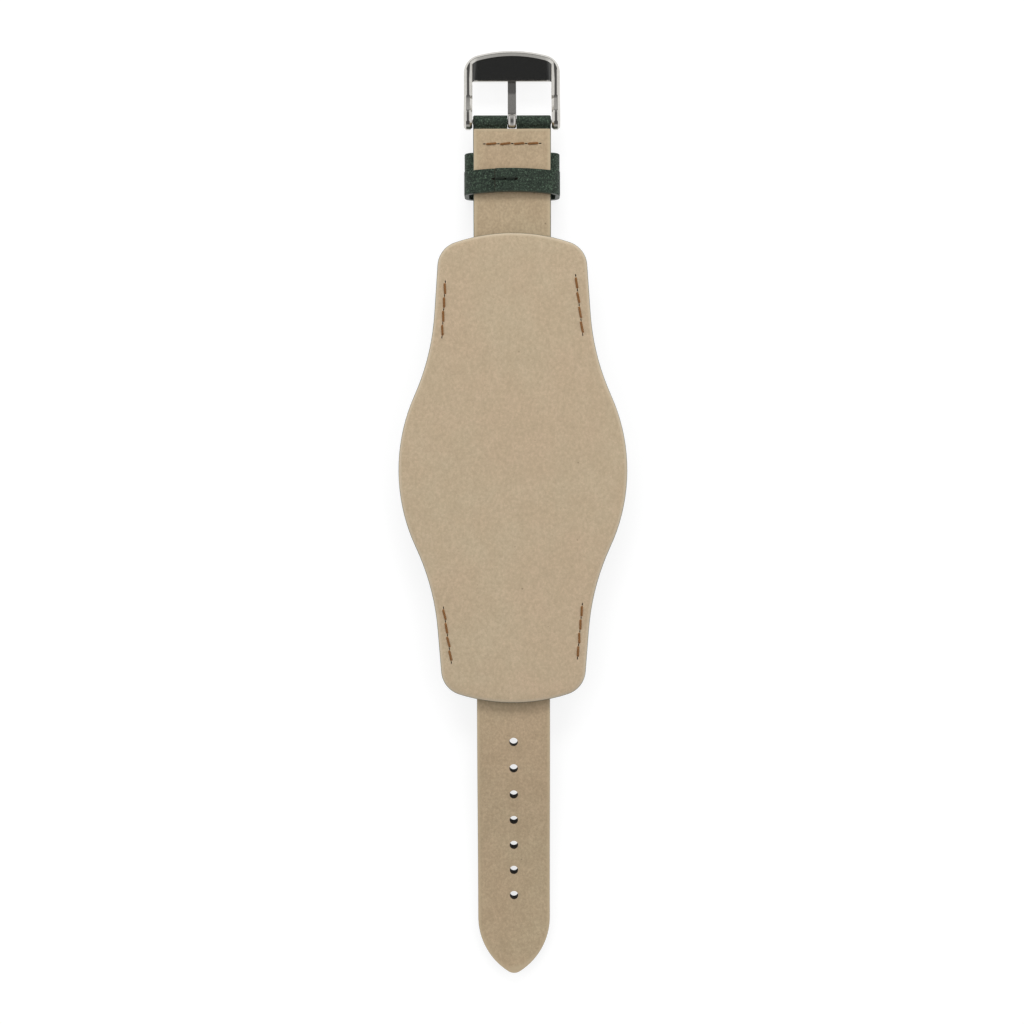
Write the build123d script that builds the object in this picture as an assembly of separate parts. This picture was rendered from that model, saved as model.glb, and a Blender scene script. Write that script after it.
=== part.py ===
from build123d import *
import os
from math import acos, asin, atan2, cos, degrees, pi, radians, sin, sqrt

# Bund watch strap in millimetres, lying flat with its wrist side up and its buckle towards +Y
# X runs across the strap and the pieces are drawn with Y = 0 at the middle of the pad

# Leather of the two strap pieces
front_leather = 1.0
strap_filler = 1.2
strap_lining = 1.0
skived_leather = 0.75
flap_turn_radius = 0.9
leather_bevel = 0.3

# Buckle-side strap piece
lug_distance = 44.0
lug_end_width = 20.0
buckle_strap_length = 68.5
buckle_end_width = 20.3
tang_slot_width = 2.9
tang_slot_front_depth = 3.5
tang_slot_wrist_depth = 2.5
lining_setback = 2.2

# Tail strap piece
tail_length = 110.8
tail_exit_width = 19.0
tail_width = 18.84
tail_tip_arc_radius = 17.0
tail_tip_rounding = 2.8
tail_droop_length = 58.0
hole_count = 7
hole_diameter = 2.2
hole_pitch = 6.84
first_hole_to_tip = 61.7

# Bund pad and its two bridges
pad_length = 121.4
pad_bulge_width = 59.1
pad_bulge_radius = 47.2
pad_bulge_setback = 0.6
pad_middle_width = 45.8
pad_upper_end_width = 38.1
pad_lower_end_width = 36.6
pad_waist_radius = 62.0
pad_end_radius = 46.0
pad_corner_radius = 6.6
pad_face_leather = 1.2
pad_filler = 0.8
pad_lining_leather = 1.0
pad_rim_bevel = 0.5
bridge_leather = 1.6
bridge_width = 17.0
bridge_setback = 18.7
bridge_bend_radius = 1.3
bridge_edge_margin = 0.4

# Keepers
keeper_leather = 1.2
fixed_keeper_width = 4.8
fixed_keeper_setback = 10.6
fixed_keeper_side_gap = 1.1
fixed_keeper_tab = 3.0
fixed_keeper_low_bend = 2.4
fixed_keeper_high_bend = 1.5
loose_keeper_width = 6.0
loose_keeper_side_gap = 1.15
loose_keeper_bend = 1.3
loose_keeper_gap = 0.3
lap_offset = 4.4
lap_step = 0.22
lap_slope_length = 6.0

# Buckle frame
frame_side_gap = 0.2
frame_length = 18.7
frame_end_radius = 35.0
frame_corner_radius = 4.7
arm_width = 2.2
window_corner_radius = 0.4
bar_width = 7.9
lug_radius = 2.15
lug_flat_length = 2.3
slope_length = 4.2
slope_drop = 2.25
slope_rounding = 2.4
bar_thickness = 1.5
bar_edge_thickness = 1.15
bar_bow = 0.1
bar_rim = 1.3
bar_hollow_depth = 0.65
frame_bevel = 0.6

# Tang
tang_width = 2.2
tang_thickness = 1.05
tang_length = 15.6
tang_bend_start = 2.2
tang_bend_end = 7.8
tang_bend_radius = 5.0
loop_end_angle = -22.0

# Spring bar
bar_diameter = 1.5
bar_bore = 1.0
bar_crimp_bore = 0.74
bar_crimp_length = 0.5
pin_diameter = 0.9
pin_flange_diameter = 1.44
pin_flange_length = 0.4
pin_neck_diameter = 0.64
pin_head_diameter = 0.9
pin_head_length = 0.7
pin_travel = 1.0
pin_depth = 0.9
lug_hole_depth = 1.2
spring_wire = 0.14
spring_turns = 14
spring_steps_per_turn = 8

# Clearances
tunnel_clearance = 0.1
tang_clearance = 0.08
pin_clearance = 0.05
tail_clearance = 0.2
strap_clearance = 0.1
seat_clearance = 0.05
overrun = 30.0

# Heights above the surface that the keepers and the tail's end lie on
strap_thickness = front_leather + strap_filler + strap_lining
tunnel_radius = bar_diameter / 2 + tunnel_clearance
fold_radius = tunnel_radius + skived_leather
front_z = keeper_leather + strap_thickness + tail_clearance
filler_z = front_z + front_leather
lining_z = filler_z + strap_filler
wrist_z = lining_z + strap_lining
axis_z = front_z + fold_radius
flap_z = lining_z - skived_leather
pad_z = wrist_z + strap_clearance
pad_filler_z = pad_z + pad_face_leather
pad_lining_z = pad_filler_z + pad_filler
pad_top_z = pad_lining_z + pad_lining_leather

# Widths that follow the strap's width
fixed_keeper_span = buckle_end_width + 2 * (fixed_keeper_side_gap + keeper_leather)
loose_keeper_span = buckle_end_width + 2 * (loose_keeper_side_gap + keeper_leather)
frame_width = buckle_end_width + 2 * (frame_side_gap + arm_width)

# Places along the strap
lug_y = lug_distance / 2
buckle_y = lug_y + buckle_strap_length
tail_tip_y = -(lug_y + tail_length)
pad_end_y = pad_length / 2
middle_y = (tail_tip_y + buckle_y + frame_length) / 2

# Fold of the front leather: it leaves the ring at this turn and runs flat under the lining
ring_radius = (tunnel_radius + fold_radius) / 2
flap_drop = axis_z + ring_radius - (lining_z - skived_leather / 2)
flap_turn = degrees(acos(1 - flap_drop / (ring_radius + flap_turn_radius)))
flap_start = (ring_radius + flap_turn_radius) * sin(radians(flap_turn))
flap_length = fixed_keeper_setback - fixed_keeper_width / 2 - seat_clearance


def face_inside(lines):
    """Flat face inside a closed run of lines and arcs"""
    return make_face([edge for line in lines for edge in line.edges()])


def side_face(lines):
    """Face from lines drawn as (y, z)"""
    return Plane.YZ * face_inside(lines)


def bent_line(points, radii, aside):
    """Bent line moved to its left, its bends kept round the same centres"""
    path = [Vector(*point) for point in points]
    ways = [(far - near).normalized() for near, far in zip(path, path[1:])]
    lefts = [Vector(-way.Y, way.X) for way in ways]
    moved = [path[0] + lefts[0] * aside]
    bends = []
    for point, before, after, radius in zip(path[1:], lefts, lefts[1:], radii):
        moved.append(point + (before + after) * (aside / (1 + before.dot(after))))
        turns_left = before.cross(after).Z > 0
        bends.append(radius - aside if turns_left else radius + aside)
    moved.append(path[-1] + lefts[-1] * aside)
    return FilletPolyline(*moved, radius=bends)


def band(points, radii, thickness):
    """Section of a bent strip of leather or steel, drawn along its middle"""
    left = bent_line(points, radii, thickness / 2)
    right = bent_line(points, radii, -thickness / 2)
    return face_inside([left, right, Line(left @ 0, right @ 0), Line(left @ 1, right @ 1)])


def box(x_range, y_range, z_range):
    """Box between two places on each axis"""
    ends = list(zip(x_range, y_range, z_range))
    size = [high - low for low, high in zip(*ends)]
    centre = [(low + high) / 2 for low, high in zip(*ends)]
    return Pos(*centre) * Box(*size)


def rod(diameter, start, end):
    """Round bar along X between two places, on the buckle's spring-bar axis"""
    shape = Rot(0, 90, 0) * Cylinder(diameter / 2, end - start)
    return Pos((start + end) / 2, buckle_y, axis_z) * shape


def fold_section(axis_y, outward, reach):
    """Front leather round a spring bar, from its flap under the lining to a reach along the strap"""

    def at(along, up):
        return (axis_y + outward * along, axis_z + up)

    def round_bar(radius, angle):
        return at(radius * cos(radians(angle)), radius * sin(radians(angle)))

    turn_up = flap_turn_radius + lining_z - skived_leather / 2 - axis_z

    def round_turn(radius, angle):
        return at(
            radius * sin(radians(angle)) - flap_start,
            turn_up - radius * cos(radians(angle)),
        )

    inner_up = front_leather - fold_radius
    under_turn = degrees(asin(-inner_up / tunnel_radius))
    half_skived = skived_leather / 2
    last = 90 + flap_turn
    first = under_turn - 180
    flap_up = lining_z - axis_z
    upper_turn = flap_turn_radius - half_skived
    lower_turn = flap_turn_radius + half_skived
    return side_face([
        Line(at(-reach, -fold_radius), at(0, -fold_radius)),
        ThreePointArc(
            round_bar(fold_radius, -90),
            round_bar(fold_radius, flap_turn / 2),
            round_bar(fold_radius, last),
        ),
        ThreePointArc(
            round_turn(upper_turn, flap_turn),
            round_turn(upper_turn, flap_turn / 2),
            round_turn(upper_turn, 0),
        ),
        Polyline(
            at(-flap_start, flap_up),
            at(-flap_length, flap_up),
            at(-flap_length, flap_up - skived_leather),
            at(-flap_start, flap_up - skived_leather),
        ),
        ThreePointArc(
            round_turn(lower_turn, 0),
            round_turn(lower_turn, flap_turn / 2),
            round_turn(lower_turn, flap_turn),
        ),
        ThreePointArc(
            round_bar(tunnel_radius, last),
            round_bar(tunnel_radius, (first + last) / 2),
            round_bar(tunnel_radius, first),
        ),
        Polyline(
            round_bar(tunnel_radius, first),
            at(-reach, inner_up),
            at(-reach, -fold_radius),
        ),
    ])


def filler_end(axis_y, outward, reach):
    """Filler at a fold: thin under the flap, then full"""
    points = [
        (lining_setback, filler_z),
        (lining_setback, flap_z),
        (flap_length, flap_z),
        (flap_length, lining_z),
        (reach, lining_z),
        (reach, filler_z),
    ]
    points = [(axis_y - outward * along, up) for along, up in points]
    return side_face([Polyline(*points, close=True)])


def across(face, width):
    """Solid of a side face, to both sides of the middle"""
    return extrude(face, width / 2, both=True)


def buckle_strap_plan():
    """Outline of the buckle-side piece from above, carried through all heights"""
    low, high = lug_y - fold_radius, buckle_y + fold_radius
    points = [
        (-lug_end_width / 2, low),
        (lug_end_width / 2, low),
        (lug_end_width / 2, lug_y + flap_length),
        (buckle_end_width / 2, high),
        (-buckle_end_width / 2, high),
        (-lug_end_width / 2, lug_y + flap_length),
    ]
    return extrude(make_face(Polyline(*points, close=True)), overrun)


def bevelled_long_edges(shape, height):
    """Bevels the edges that run along the strap at one height"""
    edges = [
        edge for edge in shape.edges()
        if abs(edge.center().Z - height) < seat_clearance
        and abs(edge.tangent_at(0.5).Y) > abs(edge.tangent_at(0.5).X)
        and edge.length > flap_length
    ]
    return chamfer(edges, leather_bevel)


def tang_slot():
    """Slot of the tang, cut deeper into the front than into the wrist side"""
    across_slot = (-tang_slot_width / 2, tang_slot_width / 2)
    end = buckle_y + fold_radius + seat_clearance
    front = box(across_slot, (buckle_y - tang_slot_front_depth, end), (0, flap_z))
    wrist = box(across_slot, (buckle_y - tang_slot_wrist_depth, end), (0, overrun))
    return front + wrist


def fixed_keeper_place():
    """Middle of the fixed keeper along the strap"""
    return buckle_y - fixed_keeper_setback


def buckle_strap_pieces():
    """Front leather, filler and lining of the buckle-side piece"""
    reach = buckle_strap_length / 2
    wide = 2 * buckle_end_width
    plan = buckle_strap_plan()
    front = across(fold_section(lug_y, -1, reach), wide)
    front += across(fold_section(buckle_y, 1, reach), wide)
    front = (front & plan) - tang_slot()
    filler = across(filler_end(lug_y, -1, reach), wide)
    filler += across(filler_end(buckle_y, 1, reach), wide)
    keeper_y = fixed_keeper_place()
    notch_y = (keeper_y - fixed_keeper_width / 2, keeper_y + fixed_keeper_width / 2)
    notch_x = buckle_end_width / 2 - fixed_keeper_tab
    for side in (-1, 1):
        notch = sorted((side * notch_x, side * wide))
        filler -= box(notch, notch_y, (filler_z, lining_z))
    filler = (filler & plan) - tang_slot()
    ends = (lug_y + lining_setback, buckle_y - lining_setback)
    lining = box((-wide, wide), ends, (lining_z, wrist_z)) & plan
    return (
        bevelled_long_edges(front, front_z),
        filler,
        bevelled_long_edges(lining, wrist_z),
    )


# Droop of the tail: two equal arcs bring it down to the surface that it lies on
droop_turn = 2 * atan2(front_z, tail_droop_length)
droop_radius = tail_droop_length / 2 / sin(droop_turn)
droop_end_y = -pad_end_y - tail_droop_length


def tail_band(low, high, start):
    """Side face of one layer of the tail, between two heights above its front face"""

    def upper_arc(height, turn):
        radius = droop_radius + height
        return (-pad_end_y - radius * sin(turn), front_z - droop_radius + radius * cos(turn))

    def lower_arc(height, turn):
        radius = droop_radius - height
        return (droop_end_y + radius * sin(turn), droop_radius - radius * cos(turn))

    def line(height):
        half = droop_turn / 2
        return [
            Line((start, front_z + height), (-pad_end_y, front_z + height)),
            ThreePointArc(*(upper_arc(height, turn) for turn in (0, half, droop_turn))),
            ThreePointArc(*(lower_arc(height, turn) for turn in (droop_turn, half, 0))),
            Line((droop_end_y, height), (tail_tip_y - overrun, height)),
        ]

    tip_y = tail_tip_y - overrun
    ends = [
        Line((start, front_z + low), (start, front_z + high)),
        Line((tip_y, low), (tip_y, high)),
    ]
    return side_face(line(low) + line(high) + ends)


def tail_plan():
    """Outline of the tail from above, carried through all heights"""
    lug_half, exit_half, half = lug_end_width / 2, tail_exit_width / 2, tail_width / 2
    point_x = half - tail_tip_arc_radius
    rounding_drop = sqrt((tail_tip_arc_radius - tail_tip_rounding) ** 2 - point_x**2)
    arc_y = tail_tip_y + tail_tip_rounding + rounding_drop
    point_turn = acos(-point_x / tail_tip_arc_radius)
    point = (0, arc_y - tail_tip_arc_radius * sin(point_turn))
    half_turn = point_turn / 2
    middle = (
        point_x + tail_tip_arc_radius * cos(half_turn),
        arc_y - tail_tip_arc_radius * sin(half_turn),
    )
    edges = [
        Polyline(
            (half, arc_y),
            (exit_half, -pad_end_y),
            (lug_half, -lug_y - flap_length),
            (lug_half, fold_radius - lug_y),
            (-lug_half, fold_radius - lug_y),
            (-lug_half, -lug_y - flap_length),
            (-exit_half, -pad_end_y),
            (-half, arc_y),
        ),
        ThreePointArc((half, arc_y), middle, point),
        ThreePointArc((-half, arc_y), (-middle[0], middle[1]), point),
    ]
    face = face_inside(edges)
    tip = face.vertices().sort_by(Axis.Y)[0]
    return extrude(fillet(tip, tail_tip_rounding), overrun)


def tail_slope(y):
    """Height of the tail's front face at a place, and its slope"""
    fallen = -pad_end_y - y
    if fallen <= 0:
        return front_z, 0
    if fallen < tail_droop_length / 2:
        turn = asin(fallen / droop_radius)
        return front_z - droop_radius * (1 - cos(turn)), turn
    if fallen < tail_droop_length:
        turn = asin((tail_droop_length - fallen) / droop_radius)
        return droop_radius * (1 - cos(turn)), turn
    return 0, 0


def tail_holes():
    """Round holes, punched square to the leather"""
    holes = []
    for number in range(hole_count):
        y = tail_tip_y + first_hole_to_tip - number * hole_pitch
        z, turn = tail_slope(y)
        punch = Cylinder(hole_diameter / 2, 4 * strap_thickness)
        holes.append(Pos(0, y, z) * Rot(degrees(turn), 0, 0) * punch)
    return holes


def tail_pieces():
    """Front leather, filler and lining of the tail"""
    reach = 2 * flap_length
    start = -lug_y - reach
    wide = 2 * lug_end_width
    plan = tail_plan()
    front = across(fold_section(-lug_y, 1, reach), wide)
    front += across(tail_band(0, front_leather, start), wide)
    filler = across(filler_end(-lug_y, 1, reach), wide)
    filler += across(tail_band(front_leather, front_leather + strap_filler, start), wide)
    lining_low = front_leather + strap_filler
    lining = across(tail_band(lining_low, strap_thickness, -lug_y - lining_setback), wide)
    return [(layer & plan) - tail_holes() for layer in (front, filler, lining)]


def sagitta(radius, half_chord):
    """Height of an arc over its chord"""
    return radius - sqrt(radius**2 - half_chord**2)


def waist_room(end_x, end_y):
    """Widest hollow curve from the bulge to a side of the pad that leaves the corner its rounding"""
    bulge_centre = Vector(pad_bulge_width / 2 - pad_bulge_radius, 0)
    corner = Vector(end_x, end_y)
    along = (corner - Vector(pad_middle_width / 2, 0)).normalized()
    outward = Vector(along.Y, -along.X)
    reach = corner - pad_corner_radius * along - bulge_centre
    return (reach.dot(reach) - pad_bulge_radius**2) / (2 * (pad_bulge_radius - outward.dot(reach)))


def pad_outline():
    """Pad from above: a round bulge over a long tapered plate, with wide hollow curves between them"""
    upper_x, lower_x, middle_x = pad_upper_end_width / 2, pad_lower_end_width / 2, pad_middle_width / 2
    upper_y = pad_end_y - sagitta(pad_end_radius, upper_x)
    lower_y = sagitta(pad_end_radius, lower_x) - pad_end_y
    plate = face_inside([
        ThreePointArc((-upper_x, upper_y), (0, pad_end_y), (upper_x, upper_y)),
        Polyline((upper_x, upper_y), (middle_x, -pad_bulge_setback), (lower_x, lower_y)),
        ThreePointArc((lower_x, lower_y), (0, -pad_end_y), (-lower_x, lower_y)),
        Polyline((-lower_x, lower_y), (-middle_x, -pad_bulge_setback), (-upper_x, upper_y)),
    ])
    bulge_x = pad_bulge_radius - pad_bulge_width / 2
    disc = Circle(pad_bulge_radius)
    shape = plate + Pos(0, -pad_bulge_setback) * (Pos(bulge_x, 0) * disc & Pos(-bulge_x, 0) * disc)
    by_distance = sorted(shape.vertices(), key=lambda vertex: abs(vertex.Y))
    waist_radius = min(
        pad_waist_radius,
        waist_room(upper_x, upper_y + pad_bulge_setback),
        waist_room(lower_x, -lower_y - pad_bulge_setback),
    )
    shape = fillet(by_distance[:4], waist_radius)
    corners = sorted(shape.vertices(), key=lambda vertex: -abs(vertex.Y) - abs(vertex.X))[:4]
    return fillet(corners, pad_corner_radius)


def pad_pieces():
    """Front leather, filler and lining of the pad"""
    outline = pad_outline()
    face = Pos(0, 0, pad_z) * extrude(outline, pad_face_leather)
    filler = Pos(0, 0, pad_filler_z) * extrude(outline, pad_filler)
    lining = Pos(0, 0, pad_lining_z) * extrude(outline, pad_lining_leather)
    lining = chamfer(lining.edges().group_by(Axis.Z)[-1], pad_rim_bevel)
    face = chamfer(face.edges().group_by(Axis.Z)[0], leather_bevel)
    return face, filler, lining


def bridge(place):
    """Band over the strap on the pad's front, its two ends laid flat to be sewn on"""
    strap_width = max(lug_end_width, buckle_end_width)
    wall_x = strap_width / 2 + strap_clearance + bridge_bend_radius
    span_z = front_z - strap_clearance - bridge_leather / 2
    tab_z = pad_z - bridge_leather / 2
    end_x = pad_bulge_width / 2
    points = [
        (-end_x, tab_z), (-wall_x, tab_z), (-wall_x, span_z),
        (wall_x, span_z), (wall_x, tab_z), (end_x, tab_z),
    ]
    section = Plane.XZ * band(points, 4 * [bridge_bend_radius], bridge_leather)
    shape = Pos(0, place, 0) * extrude(section, bridge_width / 2, both=True)
    inside = offset(pad_outline(), -bridge_edge_margin)
    return shape & extrude(inside, overrun)


def fixed_keeper():
    """Band in front of the strap, its two ends sewn into the strap's sides"""
    tab_x = buckle_end_width / 2 - fixed_keeper_tab
    side_x = (fixed_keeper_span - keeper_leather) / 2
    low, high = keeper_leather / 2, lining_z - keeper_leather / 2
    points = [
        (-tab_x, high), (-side_x, high), (-side_x, low),
        (side_x, low), (side_x, high), (tab_x, high),
    ]
    bends = [fixed_keeper_high_bend, fixed_keeper_low_bend]
    section = Plane.XZ * band(points, bends + bends[::-1], keeper_leather)
    shape = extrude(section, fixed_keeper_width / 2, both=True)
    return Pos(0, fixed_keeper_place(), 0) * shape


def loose_keeper_place():
    """Middle of the loose keeper along the strap, against the fixed one"""
    half = (fixed_keeper_width + loose_keeper_width) / 2
    return fixed_keeper_place() - half - loose_keeper_gap


def loose_keeper():
    """Closed loop round strap and tail, lapped on the wrist side"""
    inner_x = loose_keeper_span / 2 - keeper_leather
    inner_top = wrist_z + strap_clearance
    inner_height = inner_top - keeper_leather
    outer_height = inner_height + 2 * keeper_leather
    outer_bend = loose_keeper_bend + keeper_leather
    ring = RectangleRounded(loose_keeper_span, outer_height, outer_bend)
    ring -= RectangleRounded(2 * inner_x, inner_height, loose_keeper_bend)
    ring = Pos(0, outer_height / 2) * ring
    lap = make_face(Polyline(
        (-lap_offset, outer_height - lap_step),
        (-lap_offset, outer_height + lap_step),
        (lap_slope_length - lap_offset, outer_height),
        (lap_slope_length - lap_offset, outer_height - lap_step),
        close=True,
    ))
    shape = extrude(Plane.XZ * (ring + lap), loose_keeper_width / 2, both=True)
    return Pos(0, loose_keeper_place(), 0) * shape


def frame_outline():
    """Outer outline of the buckle frame from above, with a bowed end"""
    half = frame_width / 2
    corner_v = frame_length - sagitta(frame_end_radius, half)
    outer = face_inside([
        ThreePointArc((-half, corner_v), (0, frame_length), (half, corner_v)),
        Polyline((half, corner_v), (half, -lug_radius), (-half, -lug_radius), (-half, corner_v)),
    ])
    corners = outer.vertices().sort_by(Axis.Y)[-2:]
    return fillet(corners, frame_corner_radius)


def frame_window():
    """Opening between the two arms and the bar, open at the lugs' end"""
    window_x = frame_width / 2 - arm_width
    window_end = frame_length - bar_width
    window = make_face(Polyline(
        (-window_x, window_end), (window_x, window_end),
        (window_x, -2 * lug_radius), (-window_x, -2 * lug_radius),
        close=True,
    ))
    return fillet(window.vertices().sort_by(Axis.Y)[-2:], window_corner_radius)


def bar_hollow():
    """Hollow in the bar's wrist side, inside its rim and between the two arms"""
    window_x = frame_width / 2 - arm_width
    between = make_face(Polyline(
        (-window_x, 0), (window_x, 0), (window_x, frame_length), (-window_x, frame_length),
        close=True,
    ))
    inside = offset(frame_outline(), -bar_rim) & between
    low_top = lug_radius - slope_drop
    return Pos(0, 0, low_top - bar_hollow_depth) * extrude(inside, overrun)


def frame_side():
    """Buckle frame from the side: a round lug, a slope down to the arm, and a bar bowed to the front"""
    low_top = lug_radius - slope_drop
    low_start = lug_flat_length + slope_length
    bar_low = low_top - bar_thickness
    window_end = frame_length - bar_width
    top = FilletPolyline(
        (0, lug_radius), (lug_flat_length, lug_radius),
        (low_start, low_top), (frame_length, low_top),
        radius=slope_rounding,
    )
    edges = [
        *top.edges(),
        Line((frame_length, low_top), (frame_length, low_top - bar_edge_thickness)),
        ThreePointArc(
            (frame_length, low_top - bar_edge_thickness),
            ((frame_length + window_end) / 2, bar_low - bar_bow),
            (window_end, bar_low),
        ),
        Line((window_end, bar_low), (0, -lug_radius)),
        ThreePointArc((0, -lug_radius), (-lug_radius, 0), (0, lug_radius)),
    ]
    return side_face(edges)


def buckle_frame():
    """Steel frame with a blind hole for the spring bar in each lug"""
    height = 2 * lug_radius
    shape = Pos(0, 0, -height) * extrude(frame_outline() - frame_window(), 2 * height)
    shape &= across(frame_side(), 2 * frame_width)
    shape -= bar_hollow()
    window_x = frame_width / 2 - arm_width
    low_top = lug_radius - slope_drop

    def on_top_outline(edge):
        way, middle = edge.tangent_at(0.5), edge.center()
        if middle.Z < -lug_radius / 2 or abs(middle.Z - (low_top - bar_hollow_depth)) < seat_clearance:
            return False
        return edge.geom_type != GeomType.LINE or abs(way.X) + abs(way.Z) < abs(way.Y)

    shape = chamfer([edge for edge in shape.edges() if on_top_outline(edge)], frame_bevel)
    hole = Rot(0, 90, 0) * Cylinder(pin_diameter / 2 + pin_clearance, lug_hole_depth)
    for side in (-1, 1):
        shape -= Pos(side * (window_x + lug_hole_depth / 2), 0, 0) * hole
    return Pos(0, buckle_y, axis_z) * shape


def tang():
    """Steel strip bent into a loop round the spring bar, its point in front of the frame's bar"""
    loop_inner = bar_diameter / 2 + tang_clearance
    loop_outer = loop_inner + tang_thickness
    loop_up = -(loop_inner + loop_outer) / 2
    rest_up = lug_radius - slope_drop - bar_thickness - bar_bow - seat_clearance - tang_thickness / 2
    points = [(0, loop_up), (tang_bend_start, loop_up), (tang_bend_end, rest_up), (tang_length, rest_up)]
    bends = 2 * [tang_bend_radius]
    inner_line = bent_line(points, bends, tang_thickness / 2)
    outer_line = bent_line(points, bends, -tang_thickness / 2)

    def loop_point(radius, share):
        angle = radians(loop_end_angle + share * (270 - loop_end_angle))
        return (radius * cos(angle), radius * sin(angle))

    side = side_face([
        ThreePointArc(*(loop_point(loop_outer, share) for share in (0, 0.5, 1))),
        ThreePointArc(*(loop_point(loop_inner, share) for share in (0, 0.5, 1))),
        Line(loop_point(loop_inner, 0), loop_point(loop_outer, 0)),
        inner_line,
        outer_line,
        Line(inner_line @ 1, outer_line @ 1),
    ])
    shape = across(side, 2 * tang_width)
    half = tang_width / 2
    plan = face_inside([
        ThreePointArc((half, tang_length - half), (0, tang_length), (-half, tang_length - half)),
        Polyline(
            (-half, tang_length - half), (-half, -2 * loop_outer),
            (half, -2 * loop_outer), (half, tang_length - half),
        ),
    ])
    shape &= Pos(0, 0, -overrun / 2) * extrude(plan, overrun)
    return Pos(0, buckle_y, axis_z) * shape


# Spring bar along X: places from the middle of the buckle outwards
pin_tip_x = frame_width / 2 - arm_width + pin_depth
pin_flange_x = frame_width / 2 - arm_width - strap_clearance
pin_neck_x = pin_flange_x - pin_flange_length
tube_x = pin_neck_x - pin_travel - strap_clearance
head_x = tube_x - bar_crimp_length - seat_clearance
head_end_x = head_x - pin_head_length


def spring_bar_tube():
    """Tube with both ends crimped in, so that the heads of the pins stay inside"""
    shape = rod(bar_diameter, -tube_x, tube_x) - rod(bar_crimp_bore, -tube_x, tube_x)
    return shape - rod(bar_bore, bar_crimp_length - tube_x, tube_x - bar_crimp_length)


def spring_bar_pin(side):
    """Pin with a flange outside the tube and a head inside it"""
    def piece(diameter, near, far):
        return rod(diameter, *sorted((side * near, side * far)))

    shape = piece(pin_diameter, pin_neck_x, pin_tip_x)
    shape += piece(pin_flange_diameter, pin_neck_x, pin_flange_x)
    shape += piece(pin_neck_diameter, head_end_x, pin_flange_x)
    return shape + piece(pin_head_diameter, head_end_x, head_x)


def spring_bar_spring():
    """Coil spring between the heads of the two pins, in short straight steps of wire"""
    coil_radius = pin_head_diameter / 2 - spring_wire
    length = 2 * (head_end_x - seat_clearance) - spring_wire
    steps = spring_turns * spring_steps_per_turn
    points = []
    for step in range(steps + 1):
        turn = 2 * pi * step / spring_steps_per_turn
        along = length * (step / steps - 1 / 2)
        points.append((along, coil_radius * cos(turn), coil_radius * sin(turn)))
    line = Polyline(*points)
    section = Plane(line @ 0, z_dir=line % 0) * Rectangle(spring_wire, spring_wire)
    coil = sweep(section, path=line, transition=Transition.RIGHT)
    return Pos(0, buckle_y, axis_z) * coil


def pieces():
    """Every piece of the strap by name"""
    pad_face, pad_core, pad_lining = pad_pieces()
    strap_front, strap_core, strap_lining_piece = buckle_strap_pieces()
    tail_front, tail_core, tail_lining = tail_pieces()
    return {
        "pad_face": pad_face,
        "pad_core": pad_core,
        "pad_lining": pad_lining,
        "upper_bridge": bridge(pad_end_y - bridge_setback),
        "lower_bridge": bridge(bridge_setback - pad_end_y),
        "buckle_strap_front": strap_front,
        "buckle_strap_core": strap_core,
        "buckle_strap_lining": strap_lining_piece,
        "fixed_keeper": fixed_keeper(),
        "loose_keeper": loose_keeper(),
        "buckle_frame": buckle_frame(),
        "buckle_tang": tang(),
        "spring_bar_tube": spring_bar_tube(),
        "spring_bar_pin_left": spring_bar_pin(-1),
        "spring_bar_pin_right": spring_bar_pin(1),
        "spring_bar_spring": spring_bar_spring(),
        "tail_strap_front": tail_front,
        "tail_strap_core": tail_core,
        "tail_strap_lining": tail_lining,
    }


os.makedirs("parts", exist_ok=True)
for name, shape in pieces().items():
    export_step(Pos(0, -middle_y, 0) * shape, f"parts/{name}.step")

print("pad middle", round(-middle_y, 3), "buckle axis", round(buckle_y - middle_y, 3), round(axis_z, 3))
print("lug bores", round(lug_y - middle_y, 3), round(-lug_y - middle_y, 3))
print("tail tip", round(tail_tip_y - middle_y, 3))
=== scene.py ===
import random
from math import atan2, cos, pi, radians, sin

import bmesh
import bpy
from mathutils import Matrix, Vector, kdtree


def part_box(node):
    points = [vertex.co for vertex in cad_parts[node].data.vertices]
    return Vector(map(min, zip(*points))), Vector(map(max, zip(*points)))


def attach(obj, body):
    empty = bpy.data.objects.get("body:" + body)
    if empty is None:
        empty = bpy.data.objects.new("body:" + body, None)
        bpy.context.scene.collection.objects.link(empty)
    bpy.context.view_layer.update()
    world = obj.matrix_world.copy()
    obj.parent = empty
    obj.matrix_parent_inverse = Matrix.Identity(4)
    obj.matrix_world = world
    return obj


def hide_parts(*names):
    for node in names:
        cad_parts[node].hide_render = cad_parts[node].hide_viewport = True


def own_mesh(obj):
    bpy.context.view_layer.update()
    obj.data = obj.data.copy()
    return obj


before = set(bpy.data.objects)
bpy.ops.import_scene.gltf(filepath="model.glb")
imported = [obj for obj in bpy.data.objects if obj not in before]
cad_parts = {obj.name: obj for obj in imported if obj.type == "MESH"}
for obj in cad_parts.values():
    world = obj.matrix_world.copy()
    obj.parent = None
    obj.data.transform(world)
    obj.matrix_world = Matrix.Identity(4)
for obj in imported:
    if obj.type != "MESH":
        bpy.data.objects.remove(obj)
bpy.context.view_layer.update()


# Wrist side of the pad
# A plate of beige nubuck, glued over the filler. Its rim is pressed down and its cut edge painted.
# Four short rows of brown bobbin thread go through it into the two bridges.

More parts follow.
